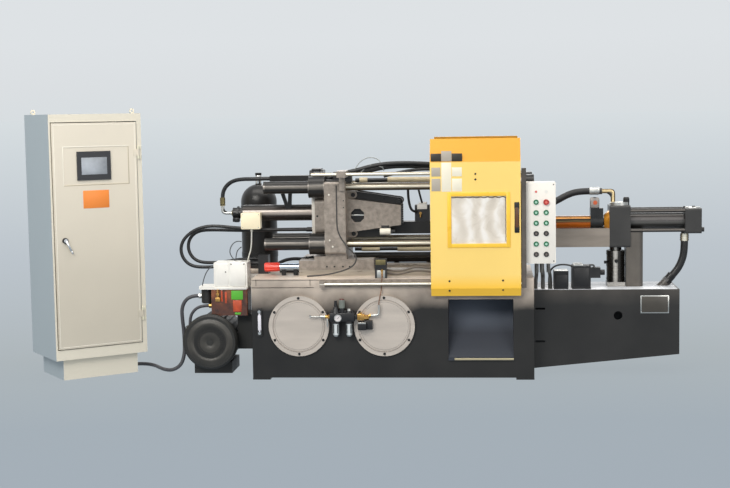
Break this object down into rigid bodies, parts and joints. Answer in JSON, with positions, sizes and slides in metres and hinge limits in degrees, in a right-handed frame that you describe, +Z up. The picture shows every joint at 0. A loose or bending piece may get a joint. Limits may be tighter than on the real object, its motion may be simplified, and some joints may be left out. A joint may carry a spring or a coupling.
{
  "type": "die casting machine",
  "caption": "Cold-chamber die casting machine with toggle clamp, tie bars, sliding guard door, shot cylinder, pump motor and a separate control cabinet.",
  "frame": {"origin": "middle of the four foot bolt holes under the bed, on the floor", "axes": "+X along the machine from clamp end to shot end, operator at -Y, +Z up"},
  "size_m": [4.0542, 0.882, 1.599],
  "materials": {
    "bed_paint": "satin charcoal enamel",
    "chute_steel": "worn blue-grey enamel",
    "cover_aluminium": "turned and brushed",
    "gauge_body": "satin",
    "machined_steel": "machined and oiled",
    "platen_paint": "hammered warm grey enamel",
    "bright_steel": "ground and chromed",
    "dark_steel": "satin dark grey enamel",
    "guard_yellow": "satin yellow enamel",
    "clear_plastic": "clear plastic sheet",
    "black_plastic": "satin black moulding",
    "shot_grey": "satin grey enamel",
    "beam_paint": "warm grey enamel",
    "plunger_amber": "oily bronze",
    "box_cream": "cream powder coat",
    "button_plastic": "glossy push buttons",
    "motor_black": "satin black enamel",
    "lubricator_white": "satin white moulding",
    "oil_tank_amber": "translucent amber tank",
    "cabinet_cream": "light cream powder coat",
    "cabinet_metal": "zinc plated",
    "hose_rubber": "matte black hose cover"
  },
  "bodies": {
    "machine": {"access_covers": "cover_aluminium", "accumulator": "motor_black", "accumulator_shelf": "bed_paint", "air_unit": "black_plastic", "bed_body": "bed_paint", "bed_extension": "bed_paint", "button_box": "box_cream", "cabinet_ends": "cabinet_cream", "cabinet_hinges": "cabinet_metal", "cabinet_plinth": "cabinet_cream", "cabinet_walls": "cabinet_cream", "chute": "chute_steel", "clamp_cheeks": "platen_paint", "clamp_cylinder": "dark_steel", "clamp_rod": "bright_steel", "clamp_top_hose": "hose_rubber", "conduit_cable": "hose_rubber", "crosshead": "dark_steel", "fixed_platen": "platen_paint", "floor_cable": "hose_rubber", "guard_post": "platen_paint", "guard_rails": "bright_steel", "inner_loop_hose": "hose_rubber", "junction_box": "box_cream", "lubricator": "lubricator_white", "lubricator_tank": "oil_tank_amber", "motor_body": "motor_black", "motor_cover": "motor_black", "moving_platen": "platen_paint", "oil_gauge": "gauge_body", "oil_strainer": "dark_steel", "outer_loop_hose": "hose_rubber", "pump": "dark_steel", "push_buttons": "button_plastic", "rail_supports": "bed_paint", "rear_guard": "guard_yellow", "rear_platen": "platen_paint", "rear_platen_base": "platen_paint", "shot_beams": "beam_paint", "shot_column": "shot_grey", "shot_end_cap": "shot_grey", "shot_head": "shot_grey", "shot_jack": "dark_steel", "shot_low_hose": "hose_rubber", "shot_sleeve": "shot_grey", "shot_top_hose": "hose_rubber", "shot_tube": "shot_grey", "tie_bar_nuts": "dark_steel", "tie_bars": "bright_steel", "toggle_links": "machined_steel", "valve_blocks": "dark_steel", "way_plates": "machined_steel"},
    "guard_door": {"guard_door": "guard_yellow", "guard_window": "clear_plastic", "guard_handle": "black_plastic"},
    "cabinet_door": {"cabinet_door": "cabinet_cream", "cabinet_screen": "clear_plastic", "cabinet_lock": "black_plastic"},
    "plunger": {"plunger_rod": "plunger_amber", "shot_coupling": "bright_steel"}
  },
  "joints": [
    {"name": "guard_door_slide", "type": "slide", "parent": "machine", "child": "guard_door", "axis": [-1, 0, 0], "range_m": [0, 0.46]},
    {"name": "cabinet_door_hinge", "type": "hinge", "parent": "machine", "child": "cabinet_door", "pos_m": [-1.52469, -0.12049, 0.124], "axis": [0, 0, 1], "range_deg": [0, 90]},
    {"name": "plunger_slide", "type": "slide", "parent": "machine", "child": "plunger", "axis": [-1, 0, 0], "range_m": [0, 0.2]}
  ]
}
